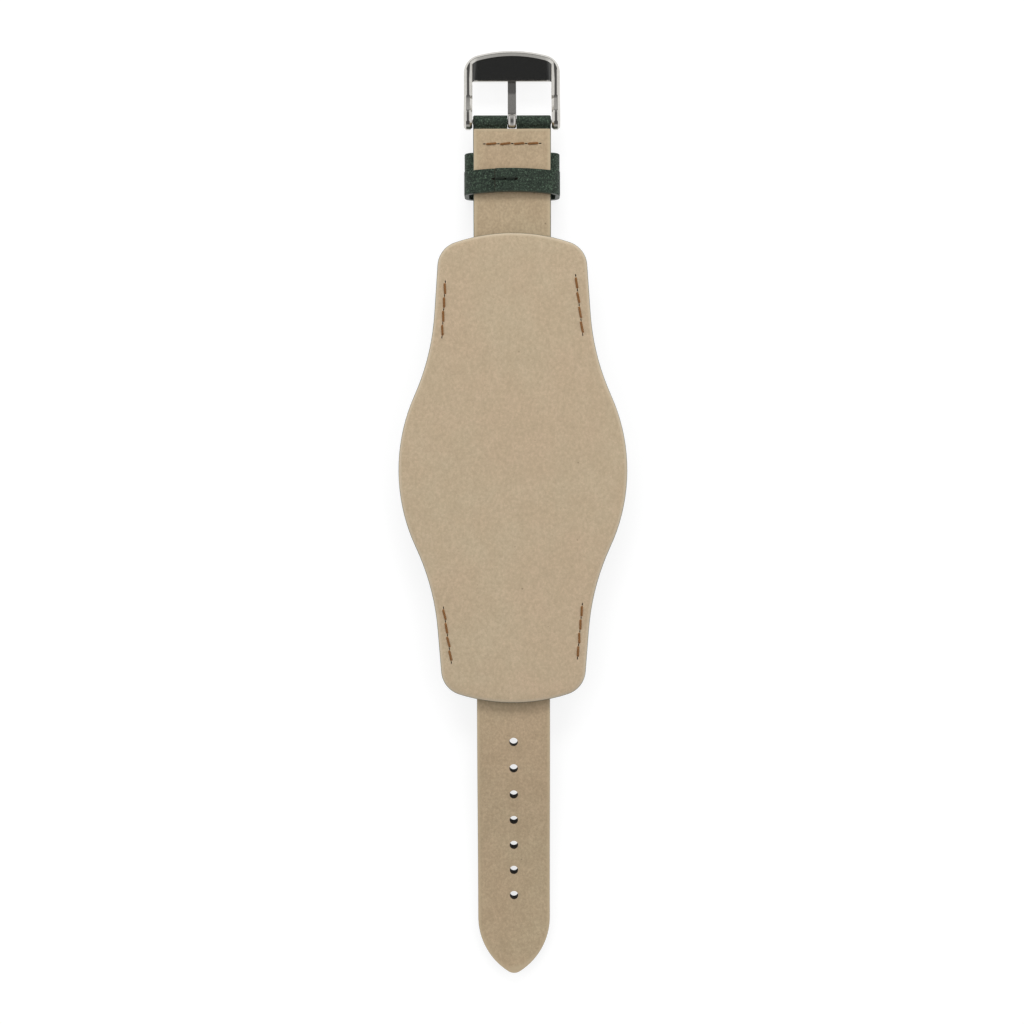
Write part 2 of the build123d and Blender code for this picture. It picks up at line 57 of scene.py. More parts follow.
PAD_TOP = 0.0109
PAD_RIM = 0.0101
PAD_CROWN = ((0.0004, 0.00009), (0.0007, 0.00006), (0.0014, 0.00003), (0.003, 0.00001))
PAD_ROWS = {
    "left_top": ((-0.0173, 0.0598), (-0.0182, 0.0455)),
    "right_top": ((0.0163, 0.0613), (0.0181, 0.0461)),
    "left_low": ((-0.0180, -0.0243), (-0.0160, -0.0384)),
    "right_low": ((0.0178, -0.0235), (0.0165, -0.0374)),
}
STITCHES_IN_ROW = 4
MERGED_WITHIN = 0.000002
FLAT_WITHIN = radians(0.5)
OUTLINE_STEP = 0.0003


def work_on(piece):
    """Selects one piece alone and makes it the one being worked on"""
    bpy.ops.object.select_all(action="DESELECT")
    piece.hide_set(False)
    piece.select_set(True)
    bpy.context.view_layer.objects.active = piece


def cut_from(node, name):
    """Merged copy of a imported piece, its flat sides made whole"""
    piece = bpy.data.objects.new(name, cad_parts[node].data.copy())
    bpy.context.scene.collection.objects.link(piece)
    piece.data.materials.clear()
    work_on(piece)
    bpy.ops.mesh.customdata_custom_splitnormals_clear()
    bpy.ops.object.mode_set(mode="EDIT")
    bpy.ops.mesh.select_all(action="SELECT")
    bpy.ops.mesh.remove_doubles(threshold=MERGED_WITHIN)
    bpy.ops.mesh.dissolve_limited(angle_limit=FLAT_WITHIN)
    bpy.ops.mesh.select_all(action="DESELECT")
    bpy.ops.object.mode_set(mode="OBJECT")
    return piece


def round_edges(piece, chosen, width, segments=2, clamp=True):
    """Rounds the edges that a test picks by the edge's middle and its two faces"""
    work_on(piece)
    bpy.ops.object.mode_set(mode="EDIT")
    bpy.ops.mesh.select_mode(type="EDGE")
    mesh = bmesh.from_edit_mesh(piece.data)
    for edge in mesh.edges:
        middle = (edge.verts[0].co + edge.verts[1].co) / 2
        edge.select = len(edge.link_faces) == 2 and chosen(
            edge, middle, edge.link_faces[0].normal, edge.link_faces[1].normal
        )
    bmesh.update_edit_mesh(piece.data)
    bpy.ops.mesh.bevel(offset=width, segments=segments, affect="EDGES", clamp_overlap=clamp)
    bpy.ops.mesh.select_all(action="DESELECT")
    bpy.ops.object.mode_set(mode="OBJECT")


def looks(normal, way):
    """True for a face that looks along one direction"""
    return normal.dot(Vector(way)) > 0.9


def slice_along(piece, axis, low, high, step):
    """Cuts a piece into even strips along one axis, so that it can bend"""
    work_on(piece)
    bpy.ops.object.mode_set(mode="EDIT")
    normal = [0, 0, 0]
    normal[axis] = 1
    place = low + step
    while place < high:
        bpy.ops.mesh.select_all(action="SELECT")
        point = [0, 0, 0]
        point[axis] = place
        bpy.ops.mesh.bisect(plane_co=point, plane_no=normal)
        place += step
    bpy.ops.mesh.select_all(action="DESELECT")
    bpy.ops.object.mode_set(mode="OBJECT")


def crown(piece, up, steps):
    """Presses the rim of a leather down in rings, so that its face rises softly to the middle"""
    work_on(piece)
    bpy.ops.object.mode_set(mode="EDIT")
    bpy.ops.mesh.select_mode(type="FACE")
    mesh = bmesh.from_edit_mesh(piece.data)
    for face in mesh.faces:
        face.select = looks(face.normal, (0, 0, up))
    bmesh.update_edit_mesh(piece.data)
    drop = sum(rise for width, rise in steps)
    bpy.ops.transform.translate(value=(0, 0, -up * drop))
    for width, rise in steps:
        bpy.ops.mesh.inset(thickness=width, depth=rise)
    bpy.ops.mesh.select_all(action="DESELECT")
    bpy.ops.object.mode_set(mode="OBJECT")


def cut_edge(piece, on_rim=lambda place: True):
    """Points along the cut outline of a leather"""
    mesh = piece.data
    points = []
    for polygon in mesh.polygons:
        if abs(polygon.normal.z) > 0.3 or not on_rim(polygon.center):
            continue
        corners = [mesh.vertices[index].co for index in polygon.vertices]
        for near, far in zip(corners, corners[1:] + corners[:1]):
            count = max(1, int((far - near).length / OUTLINE_STEP))
            points.extend((near + (far - near) * step / count).xy for step in range(count + 1))
    tree = kdtree.KDTree(len(points))
    for index, point in enumerate(points):
        tree.insert((point.x, point.y, 0), index)
    tree.balance()
    return tree


def mark_rim(piece, outline):
    """Keeps at each point how many millimetres it is from the cut edge, for the painted highlight along
    the rim to read
    """
    rim = piece.data.attributes.new("rim", "FLOAT", "POINT")
    for vertex in piece.data.vertices:
        rim.data[vertex.index].value = outline.find((vertex.co.x, vertex.co.y, 0))[2] * 1000


def smooth(piece, angle=35):
    """Smooth shading with the crisp edges kept and broad faces left flat"""
    work_on(piece)
    bpy.ops.object.shade_smooth_by_angle(angle=radians(angle))
    weighted = piece.modifiers.new("weighted", "WEIGHTED_NORMAL")
    weighted.keep_sharp = True
    bpy.ops.object.modifier_apply(modifier="weighted")


def paint_walls(piece, surface, walls, cut=lambda normal: abs(normal.z) < 0.3):
    """Gives a leather its surface finish, and its cut sides the edge paint"""
    piece.data.materials.append(surface)
    piece.data.materials.append(walls)
    for polygon in piece.data.polygons:
        polygon.material_index = 1 if cut(polygon.normal) else 0


def belongs(piece, body, node):
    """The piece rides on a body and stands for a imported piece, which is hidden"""
    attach(piece, body)
    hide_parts(node)


def adder(tree):
    """A way to add nodes to one material or to the world"""
    def add(kind, inputs=(), **settings):
        node = tree.nodes.new(kind)
        for key, value in settings.items():
            setattr(node, key, value)
        for key, value in dict(inputs).items():
            if isinstance(value, bpy.types.NodeSocket):
                tree.links.new(value, node.inputs[key])
            else:
                node.inputs[key].default_value = value
        return node

    return add


def finish_nodes(name):
    """New material with its shader, and a way to add nodes"""
    material = bpy.data.materials.new(name)
    material.use_nodes = True
    tree = material.node_tree
    return material, tree, tree.nodes["Principled BSDF"], adder(tree)


def noise(add, scale, detail=3.0, stretch=(1, 1, 1), rough=0.55):
    """Noise on the piece's own coordinates, in features per metre"""
    place = add("ShaderNodeTexCoord").outputs["Object"]
    mapped = add("ShaderNodeMapping", {"Vector": place, "Scale": stretch}).outputs["Vector"]
    made = add("ShaderNodeTexNoise", {
        "Vector": mapped, "Scale": scale, "Detail": detail, "Roughness": rough,
    })
    return made.outputs["Fac"]


def spread(add, value, low, high, to_low=0.0, to_high=1.0):
    """Stretches part of a value's range"""
    node = add("ShaderNodeMapRange", {
        "Value": value, "From Min": low, "From Max": high, "To Min": to_low, "To Max": to_high,
    })
    return node.outputs["Result"]


def blend(add, factor, first, second, mode="MIX"):
    """Mixes two colours"""
    node = add("ShaderNodeMix", {"Factor": factor}, data_type="RGBA", blend_type=mode)
    for socket, value in ((6, first), (7, second)):
        if isinstance(value, bpy.types.NodeSocket):
            node.id_data.links.new(value, node.inputs[socket])
        else:
            node.inputs[socket].default_value = value
    return node.outputs[2]


def scaled(colour, factor):
    """The same colour, darker or lighter"""
    return tuple(min(1, part * factor) for part in colour[:3]) + (1,)


def nubuck(name, colour, warm, shade, rim_highlight_colour):
    """Beige nubuck: faint dye clouds, a short brushed nap, few dark pores and a painted highlight along
    its rounded rim
    """
    material, tree, shader, add = finish_nodes(name)
    clouds = spread(add, noise(add, 55, 4.0), 0.38, 0.62, 0.0, 0.8)
    tone = blend(add, clouds, colour, warm)
    patches = spread(add, noise(add, 240, 4.0, (1, 0.8, 1)), 0.38, 0.66, 0.0, 0.5)
    tone = blend(add, patches, tone, shade)
    nap = noise(add, 1700, 4.0, (1, 0.8, 1), 0.75)
    tone = blend(add, spread(add, nap, 0.40, 0.72, 0.0, 0.75), tone, scaled(shade, 0.80))
    tone = blend(add, spread(add, nap, 0.45, 0.25, 0.0, 0.55), tone, scaled(warm, 1.16))
    pores = spread(add, noise(add, 950, 1.0), 0.79, 0.83, 0.0, 0.5)
    tone = blend(add, pores, tone, (0.12, 0.085, 0.05, 1))
    near = add("ShaderNodeAttribute", attribute_name="rim").outputs["Fac"]
    # Painted highlight: within about a millimetre of the cut edge the tone is lifted towards the rim
    # colour, as if the rounded rim caught light
    tone = blend(add, spread(add, near, 0.9, 0.3, 0.0, 0.8), tone, rim_highlight_colour)
    tree.links.new(tone, shader.inputs["Base Color"])
    height = add("ShaderNodeMath", {0: nap, 1: patches}, operation="ADD").outputs[0]
    bump = add("ShaderNodeBump", {"Height": height, "Strength": 0.5, "Distance": 0.00006})
    tree.links.new(bump.outputs["Normal"], shader.inputs["Normal"])
    shader.inputs["Roughness"].default_value = 0.93
    shader.inputs["Specular IOR Level"].default_value = 0.18
    shader.inputs["Sheen Weight"].default_value = 0.12
    shader.inputs["Sheen Roughness"].default_value = 0.6
    shader.inputs["Sheen Tint"].default_value = (0.9, 0.82, 0.68, 1)
    return material


def edge_paint():
    """Grey-green edge paint, brushed on and a little uneven"""
    material, tree, shader, add = finish_nodes("edge_paint")
    waves = noise(add, 420, 3.0)
    tone = blend(add, spread(add, waves, 0.35, 0.65), (0.050, 0.066, 0.048, 1), (0.088, 0.104, 0.080, 1))
    tree.links.new(tone, shader.inputs["Base Color"])
    bump = add("ShaderNodeBump", {"Height": waves, "Strength": 0.5, "Distance": 0.00008})
    tree.links.new(bump.outputs["Normal"], shader.inputs["Normal"])
    shader.inputs["Roughness"].default_value = 0.45
    return material


def thread_finish(name, dark, light):
    """Waxed sewing thread: its fibres run round the strands"""
    material, tree, shader, add = finish_nodes(name)
    fibres = noise(add, 9000, 2.0)
    tree.links.new(blend(add, spread(add, fibres, 0.3, 0.7), dark, light), shader.inputs["Base Color"])
    bump = add("ShaderNodeBump", {"Height": fibres, "Strength": 0.4, "Distance": 0.00002})
    tree.links.new(bump.outputs["Normal"], shader.inputs["Normal"])
    shader.inputs["Roughness"].default_value = 0.6
    return material


def hole_shade_finish():
    """Painted shade: the near-black inside of a needle hole, and of a slot or a punched hole, with a
    little dark raw brown in it
    """
    material, tree, shader, add = finish_nodes("needle_hole")
    tone = blend(add, noise(add, 3000), (0.012, 0.010, 0.007, 1), (0.045, 0.033, 0.020, 1))
    tree.links.new(tone, shader.inputs["Base Color"])
    shader.inputs["Roughness"].default_value = 0.9
    return material


STRAND_COUNT = 3
STRAND_RADIUS = 0.00018
STRAND_OFFSET = 0.000145
THREAD_TWIST = radians(900)
THREAD_STEPS = 20


def twisted_stitch():
    """One stitch of three-strand thread, of unit length and standing on end"""
    strands = []
    for turn in range(STRAND_COUNT):
        angle = 2 * pi * turn / STRAND_COUNT
        bpy.ops.object.select_all(action="DESELECT")
        bpy.ops.mesh.primitive_cylinder_add(
            vertices=8, radius=STRAND_RADIUS, depth=1, end_fill_type="NOTHING",
            location=(STRAND_OFFSET * cos(angle), STRAND_OFFSET * sin(angle), 0),
        )
        bpy.ops.object.transform_apply(location=True)
        strands.append(bpy.context.object)
    work_on(strands[0])
    for strand in strands:
        strand.select_set(True)
    bpy.ops.object.join()
    piece = bpy.context.object
    slice_along(piece, 2, -0.5, 0.5, 1 / THREAD_STEPS)
    twist = piece.modifiers.new("twist", "SIMPLE_DEFORM")
    twist.deform_method = "TWIST"
    twist.deform_axis = "Z"
    twist.angle = THREAD_TWIST
    work_on(piece)
    bpy.ops.object.modifier_apply(modifier="twist")
    mesh = piece.data
    bpy.data.objects.remove(piece)
    return mesh


STITCH = twisted_stitch()
THREAD_PRESSED = 0.85
THREAD_LIFT = 0.00013
THREAD_DIVES = 0.00062
THREAD_DIVES_FROM = 0.32
HOLE_TIP = 0.00010
HOLE_DEPTH = 0.0010
HOLE_SINK = 0.0003


def needle_holes(start, end):
    """Places of the needle holes of a row, evenly spaced"""
    start, end = Vector(start), Vector(end)
    return [start + (end - start) * step / STITCHES_IN_ROW for step in range(STITCHES_IN_ROW + 1)]


def flat_at(height):
    """Height of a level face, in the form that sewing asks for"""
    return lambda x, y: height


def sew(name, holes, height, finish, side=1, sink=0.00004, skew=0.00014, gap=0.00045, seed=1):
    """A row of stitches between needle holes, on the wrist side or the front side of the leather"""
    chance = random.Random(seed)
    parts = []
    for index, (near, far) in enumerate(zip(holes, holes[1:])):
        mesh = STITCH.copy()
        along = far - near
        across = Vector((-along.y, along.x)).normalized()
        slant = skew * (1 + 0.6 * chance.uniform(-1, 1))
        low, high = near - across * slant, far + across * slant
        way = high - low
        length = way.length - gap
        middle = (low + high) / 2
        turn = atan2(way.y, way.x)
        roll = chance.uniform(0, 2 * pi)
        for vertex in mesh.vertices:
            share = vertex.co.z
            near_end = max(0, abs(share) - THREAD_DIVES_FROM) / (0.5 - THREAD_DIVES_FROM)
            drop = THREAD_DIVES * near_end**1.6
            x, y = vertex.co.x, vertex.co.y
            x, y = x * cos(roll) - y * sin(roll), x * sin(roll) + y * cos(roll)
            lift = side * (y * THREAD_PRESSED - sink - drop + THREAD_LIFT)
            base = height(middle.x + way.x * share, middle.y + way.y * share)
            spot = Vector((share * length, x)).to_3d()
            spot.rotate(Matrix.Rotation(turn, 3, "Z").to_euler())
            vertex.co = (middle.x + spot.x, middle.y + spot.y, base + lift)
        part = bpy.data.objects.new(f"{name}_{index}", mesh)
        bpy.context.scene.collection.objects.link(part)
        parts.append(part)
    work_on(parts[0])
    for part in parts:
        part.select_set(True)
    bpy.ops.object.join()
    piece = bpy.context.object
    piece.name = name
    piece.data.materials.append(finish)
    work_on(piece)
    bpy.ops.object.mode_set(mode="EDIT")
    bpy.ops.mesh.select_all(action="SELECT")
    bpy.ops.mesh.normals_make_consistent(inside=False)
    bpy.ops.mesh.select_all(action="DESELECT")
    bpy.ops.object.mode_set(mode="OBJECT")
    bpy.ops.object.shade_smooth()
    return piece


def pierce(piece, rows, height, finish, side=1, width=0.00015, pull=3.0):
    """Opens the needle holes in a leather, drawn out along their rows by the thread"""
    cutters = []
    for row in rows:
        way = row[-1] - row[0]
        for hole in row:
            bpy.ops.object.select_all(action="DESELECT")
            bpy.ops.mesh.primitive_cone_add(
                vertices=12, radius1=HOLE_TIP, radius2=width, depth=HOLE_DEPTH,
                location=(hole.x, hole.y, height(hole.x, hole.y) - side * HOLE_SINK),
                rotation=(0 if side > 0 else pi, 0, side * atan2(way.y, way.x)), scale=(pull, 1, 1),
            )
            cutters.append(bpy.context.object)
    work_on(cutters[0])
    for cutter in cutters:
        cutter.select_set(True)
    bpy.ops.object.join()
    cutter = bpy.context.object
    bpy.ops.object.transform_apply(location=True, rotation=True, scale=True)
    # The walls of the pits take this finish; every call gives them the near-black painted shade of the
    # holes
    cutter.data.materials.append(finish)
    cut = piece.modifiers.new("pierce", "BOOLEAN")
    cut.operation = "DIFFERENCE"
    cut.solver = "EXACT"
    cut.material_mode = "TRANSFER"
    cut.object = cutter
    work_on(piece)
    bpy.ops.object.modifier_apply(modifier="pierce")
    bpy.data.objects.remove(cutter)


# Its last colour is the painted highlight along the pad's rim
PAD_NUBUCK = nubuck(
    "pad_nubuck", (0.500, 0.405, 0.279, 1), (0.510, 0.386, 0.265, 1),
    (0.457, 0.360, 0.240, 1), (0.560, 0.470, 0.345, 1),
)
EDGE_PAINT = edge_paint()
BROWN_THREAD = thread_finish("brown_thread", (0.100, 0.038, 0.009, 1), (0.345, 0.158, 0.044, 1))
GREEN_THREAD = thread_finish("green_thread", (0.002, 0.005, 0.002, 1), (0.008, 0.016, 0.008, 1))
NEEDLE_HOLE_SHADE = hole_shade_finish()

pad_wrist = cut_from("pad_lining", "pad_wrist_side")
crown(pad_wrist, 1, PAD_CROWN)
round_edges(
    pad_wrist, lambda edge, middle, a, b: middle.z > PAD_RIM and edge.calc_face_angle() > 0.5, 0.00015,
)
pad_edge = cut_edge(pad_wrist)
paint_walls(pad_wrist, PAD_NUBUCK, EDGE_PAINT, lambda normal: normal.z < 0.8)
pad_rows = {name: needle_holes(*ends) for name, ends in PAD_ROWS.items()}
pierce(pad_wrist, pad_rows.values(), flat_at(PAD_TOP), NEEDLE_HOLE_SHADE)
mark_rim(pad_wrist, pad_edge)
smooth(pad_wrist)
belongs(pad_wrist, "pad", "pad_lining")
for seed, (name, row) in enumerate(pad_rows.items()):
    stitches = sew(f"pad_stitches_{name}", row, flat_at(PAD_TOP), BROWN_THREAD, seed=seed)
    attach(stitches, "pad")


# Filler and front leather of the pad
# The filler is a thin board of bonded fibre, seen only at its painted edge.
# The front is dark green calf with a fine grain, on which the watch lies.

def grained_leather(name, dark, light, shine):
    """Dark green calf: fine grain with painted shade in its creases, its tops slightly rubbed"""
    material, tree, shader, add = finish_nodes(name)
    place = add("ShaderNodeTexCoord").outputs["Object"]
    warp = add("ShaderNodeTexNoise", {"Vector": place, "Scale": 900, "Detail": 2.0})
    shift = add("ShaderNodeVectorMath", {0: warp.outputs["Color"], 3: 0.0006}, operation="SCALE")
    moved = add("ShaderNodeVectorMath", {0: place, 1: shift.outputs[0]}, operation="ADD").outputs[0]
    cells = add("ShaderNodeTexVoronoi", {"Vector": moved, "Scale": 1900}, feature="DISTANCE_TO_EDGE")
    creases = spread(add, cells.outputs["Distance"], 0.0, 0.12)
    specks = spread(add, noise(add, 2100, 3.0, rough=0.75), 0.50, 0.66)
    clouds = spread(add, noise(add, 300, 4.0), 0.35, 0.65)
    tone = blend(add, clouds, dark, light)
    tone = blend(add, specks, tone, scaled(light, 3.6))
    # Painted shade: the creases of the grain are darkened to a quarter of the dark tone
    tone = blend(add, spread(add, creases, 0.0, 1.0, 0.9, 0.0), tone, scaled(dark, 0.25))
    tree.links.new(tone, shader.inputs["Base Color"])
    height = add("ShaderNodeMath", {0: creases, 1: specks}, operation="ADD").outputs[0]
    bump = add("ShaderNodeBump", {"Height": height, "Strength": 0.8, "Distance": 0.00010})
    tree.links.new(bump.outputs["Normal"], shader.inputs["Normal"])
    rough = spread(add, creases, 0.0, 1.0, shine + 0.2, shine)
    tree.links.new(rough, shader.inputs["Roughness"])
    shader.inputs["Specular IOR Level"].default_value = 0.35
    return material


GREEN_CALF = grained_leather("green_calf", (0.016, 0.028, 0.018, 1), (0.030, 0.046, 0.031, 1), 0.5)
FRONT_CROWN = ((0.0005, 0.00007), (0.0009, 0.00004), (0.002, 0.00002))

pad_filler = cut_from("pad_core", "pad_filler_board")
pad_filler.data.materials.append(EDGE_PAINT)
smooth(pad_filler)
belongs(pad_filler, "pad", "pad_core")

pad_front = cut_from("pad_face", "pad_front_side")
crown(pad_front, -1, FRONT_CROWN)
paint_walls(pad_front, GREEN_CALF, EDGE_PAINT)
smooth(pad_front)
belongs(pad_front, "pad", "pad_face")


# Two bridges across the front of the pad
# Bands of the same green calf, doubled, laid over the strap pieces so that these can slide beneath.
# Their flat ends are sewn to the pad with dark green thread.

BRIDGE_FRONT = 0.0063
BRIDGE_BOWS = 0.0105
BRIDGE_SAG = 0.00025
BAND_SLICES = (-0.0105, 0.0106, 0.0015)


def bow(piece, half_width, rise, shift=0.0, above=-1.0):
    """Lets a band swell a little at its middle, as leather does that is bent round something"""
    for vertex in piece.data.vertices:
        if vertex.co.z > above and abs(vertex.co.x) < half_width:
            share = 1 - (vertex.co.x / half_width) ** 2
            vertex.co.z += rise * share
            vertex.co.y += shift * share


def across_strap(normal):
    """True for the cut sides of a band that goes round the strap"""
    return abs(normal.y) > 0.8


def band_edge(edge, middle, a, b):
    """True for the long edges of a band, where its leather meets its cut sides"""
    return across_strap(a) != across_strap(b) and edge.calc_face_angle() > 0.8


for end, node in (("upper", "upper_bridge"), ("lower", "lower_bridge")):
    low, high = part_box(node)
    band = cut_from(node, f"{end}_bridge_band")
    slice_along(band, 0, *BAND_SLICES)
    round_edges(
        band, lambda edge, middle, a, b: min(a.z, b.z) < 0.5 and band_edge(edge, middle, a, b), 0.00025,
    )
    bow(band, BRIDGE_BOWS, -BRIDGE_SAG)
    rows = [row for name, row in pad_rows.items() if low.y < row[0].y < high.y]
    paint_walls(band, GREEN_CALF, EDGE_PAINT, across_strap)
    smooth(band)
    pierce(band, rows, flat_at(BRIDGE_FRONT), NEEDLE_HOLE_SHADE, side=-1)
    belongs(band, "pad", node)
    for seed, row in enumerate(rows):
        name = f"{end}_bridge_stitches_{seed}"
        stitches = sew(name, row, flat_at(BRIDGE_FRONT), GREEN_THREAD, side=-1, seed=seed + 5)
        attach(stitches, "pad")


# Buckle-side strap piece
# Green calf folded round the watch's spring bar and the buckle's, a filler, and a lining of nubuck.
# One row of stitches under the buckle holds the fold: brown on the wrist side, green on the front.

STRAP_TOP = 0.0078
STRAP_FRONT = 0.0046
STRAP_RIM = 0.0073
STRAP_CROWN = ((0.00035, 0.00007), (0.0006, 0.00003))
STRAP_ROW = ((-0.0072, 0.0961), (0.0073, 0.0962))
LUG_ROW = ((-0.0078, 0.0398), (0.0078, 0.0398))
FRONT_SINK = 0.0003
SLOT_BEGINS = 0.0985
SLOT_SIDE = (0.0012, 0.0016)
SLOT_CLOSES = 0.82
FLAP_END = 0.0998
FLAP_TOP = 0.0066
FLAP_SKIVE = 0.0005
FOLD_TOP = 0.0048
FOLD_BEGINS = 0.1015
# Its last colour is the painted highlight along the strap's rim
STRAP_NUBUCK = nubuck(
    "strap_nubuck", (0.462, 0.369, 0.243, 1), (0.471, 0.349, 0.230, 1),
    (0.385, 0.292, 0.186, 1), (0.482, 0.388, 0.260, 1),
)


def along_strap(normal):
    """True for the cut long sides of a strap layer"""
    return abs(normal.x) > 0.8


def front_edge(edge, middle, a, b):
    """True for the long edges of the front leather that show, away from its slot"""
    shows = abs(middle.x) > 0.002 and (middle.z < FOLD_TOP or middle.y > FOLD_BEGINS)
    return shows and along_strap(a) != along_strap(b) and edge.calc_face_angle() > 0.8


def finish_where(piece, finish, chosen):
    """Gives another finish to the faces that a test picks by their middle and normal"""
    if finish.name not in piece.data.materials:
        piece.data.materials.append(finish)
    index = piece.data.materials.find(finish.name)
    for polygon in piece.data.polygons:
        if chosen(polygon.center, polygon.normal):
            polygon.material_index = index


strap_lining = cut_from("buckle_strap_lining", "buckle_strap_wrist_side")
crown(strap_lining, 1, STRAP_CROWN)
round_edges(
    strap_lining,
    lambda edge, middle, a, b: middle.z > STRAP_RIM and edge.calc_face_angle() > 0.5, 0.0002,
)
strap_edge = cut_edge(strap_lining)
paint_walls(strap_lining, STRAP_NUBUCK, EDGE_PAINT, lambda normal: normal.z < 0.8 and abs(normal.x) > 0.3)
strap_row = needle_holes(*STRAP_ROW)
pierce(strap_lining, [strap_row], flat_at(STRAP_TOP), NEEDLE_HOLE_SHADE)
mark_rim(strap_lining, strap_edge)
smooth(strap_lining)
belongs(strap_lining, "buckle_strap", "buckle_strap_lining")
stitches = sew("buckle_strap_stitches_wrist", strap_row, flat_at(STRAP_TOP), BROWN_THREAD, seed=11)
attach(stitches, "buckle_strap")

strap_filler = cut_from("buckle_strap_core", "buckle_strap_filler")
strap_filler.data.materials.append(EDGE_PAINT)
smooth(strap_filler)
belongs(strap_filler, "buckle_strap", "buckle_strap_core")

strap_front = cut_from("buckle_strap_front", "buckle_strap_green_leather")
for vertex in strap_front.data.vertices:
    if vertex.co.y > SLOT_BEGINS and SLOT_SIDE[0] < abs(vertex.co.x) < SLOT_SIDE[1]:
        vertex.co.x *= SLOT_CLOSES
        if abs(vertex.co.y - FLAP_END) < 0.0001 and vertex.co.z > FLAP_TOP:
            vertex.co.y += FLAP_SKIVE
round_edges(strap_front, front_edge, 0.00018)
paint_walls(strap_front, GREEN_CALF, EDGE_PAINT, along_strap)
# Painted shade: the walls of the slot take the near-black hole finish, so the narrow gap beside the tang
# shows dark
finish_where(
    strap_front, NEEDLE_HOLE_SHADE,
    lambda middle, normal: along_strap(normal) and
    middle.y > SLOT_BEGINS and abs(middle.x) < SLOT_SIDE[1],
)
smooth(strap_front)
lug_row = needle_holes(*LUG_ROW)
pierce(strap_front, [strap_row, lug_row], flat_at(STRAP_FRONT), NEEDLE_HOLE_SHADE, side=-1)
belongs(strap_front, "buckle_strap", "buckle_strap_front")
for end, row in (("buckle", strap_row), ("lug", lug_row)):
    name = f"{end}_end_stitches_front"
    stitches = sew(name, row, flat_at(STRAP_FRONT), GREEN_THREAD, side=-1, sink=FRONT_SINK, seed=12)
    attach(stitches, "buckle_strap")


# Two keepers
# Bands of green calf. The fixed one is sewn into the sides of the strap, open towards the wrist.
# The loose one is a closed loop, lapped on the wrist side and held there by two dark stitches.

KEEPER_ROUNDING = 0.00022
LOOP_SLICES = (-0.0112, 0.0113, 0.0012)
LOOP_WRIST = 0.0075
LOOP_TOP = 0.0091
LOOP_BOWS = 0.0125
LOOP_RISE = 0.0005
LOOP_LEAN = 0.0008
LOOP_SHIFT = 0.00035
LAP_END = -0.0044
LAP_FOOT = (0.0089, 0.00915)
LAP_SLANT = 0.00014
LAP_LENGTH = 0.006
LAP_RISE = 0.00022
LAP_ROW_Y = 0.0866

fixed = cut_from("fixed_keeper", "fixed_keeper_band")
slice_along(fixed, 0, *BAND_SLICES)
round_edges(fixed, band_edge, KEEPER_ROUNDING)
paint_walls(fixed, GREEN_CALF, EDGE_PAINT, across_strap)
smooth(fixed)
belongs(fixed, "buckle_strap", "fixed_keeper")

loose = cut_from("loose_keeper", "loose_keeper_loop")
slice_along(loose, 0, *LOOP_SLICES)
round_edges(loose, band_edge, KEEPER_ROUNDING)
for vertex in loose.data.vertices:
    if abs(vertex.co.x - LAP_END) < 0.0001 and LAP_FOOT[0] < vertex.co.z < LAP_FOOT[1]:
        vertex.co.x -= LAP_SLANT
bow(loose, LOOP_BOWS, LOOP_RISE, LOOP_LEAN, above=LOOP_WRIST)
for vertex in loose.data.vertices:
    if vertex.co.z > LOOP_WRIST:
        vertex.co.y -= LOOP_SHIFT
paint_walls(loose, GREEN_CALF, EDGE_PAINT, across_strap)
# Painted shade: the lap's cut wall takes the near-black hole finish, so the step shows as a dark line
finish_where(
    loose, NEEDLE_HOLE_SHADE,
    lambda middle, normal: normal.x < -0.5 and
    abs(middle.x - LAP_END) < 0.0003 and middle.z > LAP_FOOT[0],
)
smooth(loose)


def lap_height(x, y):
    """Height of the loose keeper's wrist side, with its lap"""
    share = max(0, 1 - (x / LOOP_BOWS) ** 2)
    lap = LAP_RISE * (1 - (x - LAP_END) / LAP_LENGTH) if 0 < x - LAP_END < LAP_LENGTH else 0
    return LOOP_TOP + lap + LOOP_RISE * share


lap_row = [Vector((x, LAP_ROW_Y)) for x in (-0.0047, -0.0018, 0.0009)]
pierce(loose, [lap_row], lap_height, NEEDLE_HOLE_SHADE, width=0.00036, pull=2.4)
belongs(loose, "loose_keeper", "loose_keeper")
stitches = sew(
    "loose_keeper_stitches", lap_row, lap_height, GREEN_THREAD, sink=-0.0001, gap=0.0003, seed=14,
)
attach(stitches, "loose_keeper")


# Buckle frame, tang and spring bar
# The frame is cast and polished steel, its rim bevelled and its broad bar hollowed on the wrist side.
# The tang is bent strip, and both turn on a sprung bar in the fold of the strap.

def steel(name, colour, rough, grain):
    """Steel with a little grain in its polish"""
    material, tree, shader, add = finish_nodes(name)
    fine = noise(add, 3800, 2.0, (1, 0.35, 1))
    tone = blend(add, spread(add, fine, 0.3, 0.7), colour, scaled(colour, 0.86))
    tree.links.new(tone, shader.inputs["Base Color"])
    tree.links.new(spread(add, fine, 0.25, 0.75, rough * 0.75, rough * 1.3), shader.inputs["Roughness"])
    bump = add("ShaderNodeBump", {"Height": fine, "Strength": grain, "Distance": 0.00001})
    tree.links.new(bump.outputs["Normal"], shader.inputs["Normal"])
    shader.inputs["Metallic"].default_value = 1
    return material


POLISHED_STEEL = steel("polished_steel", (0.66, 0.64, 0.60, 1), 0.10, 0.12)
